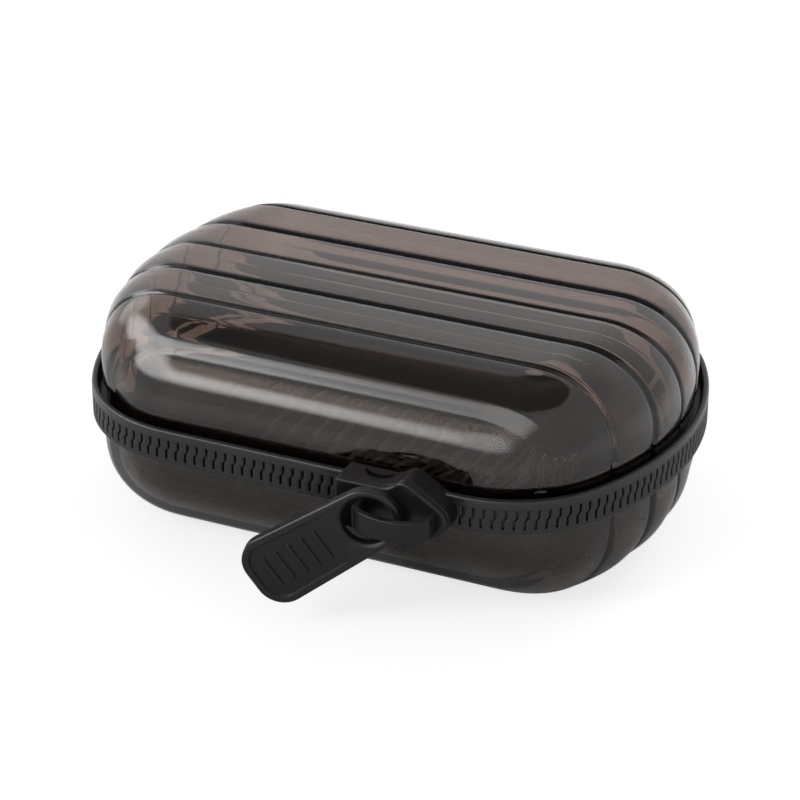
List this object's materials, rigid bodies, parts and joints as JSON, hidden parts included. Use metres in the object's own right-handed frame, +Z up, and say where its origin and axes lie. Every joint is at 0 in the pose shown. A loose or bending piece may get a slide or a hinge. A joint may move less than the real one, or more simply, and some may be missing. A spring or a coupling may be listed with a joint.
{
  "type": "travel soap box",
  "caption": "Rounded travel soap box with a ribbed see-through lid and base, a soft joint band moulded as a zipper with slider and pull tab, and a slotted drain tray.",
  "frame": {"origin": "centre of the rest face under the base, on the table", "axes": "+X along the length, towards the slider's end; -Y is the front, where the slider and its tab are; +Z up through the lid"},
  "size_m": [0.115, 0.095, 0.0454],
  "materials": {
    "smoky_shell": "smooth gloss, see-through smoky grey",
    "soft_band": "matte moulded silicone",
    "tab_plastic": "fine matte",
    "tray_plastic": "smooth, slightly see-through"
  },
  "bodies": {
    "base": {"base_shell": "smoky_shell", "zip_band": "soft_band", "zip_slider": "soft_band"},
    "lid": {"lid_shell": "smoky_shell"},
    "drain_tray": {"drain_tray": "tray_plastic"},
    "pull_tab": {"pull_tab": "tab_plastic"}
  },
  "joints": [
    {"name": "lid_lift", "type": "slide", "parent": "base", "child": "lid", "axis": [0, 0, 1], "range_m": [0, 0.07]},
    {"name": "tray_lift", "type": "slide", "parent": "base", "child": "drain_tray", "axis": [0, 0, 1], "range_m": [0, 0.035]},
    {"name": "tab_swing", "type": "hinge", "parent": "base", "child": "pull_tab", "pos_m": [0.0198, -0.0471, 0.0269], "axis": [0, 0, 1], "range_deg": [-10, 75]}
  ],
  "couplings": [
    {"joint": "tray_lift", "follows": "lid_lift", "ratio": 0.5}
  ]
}
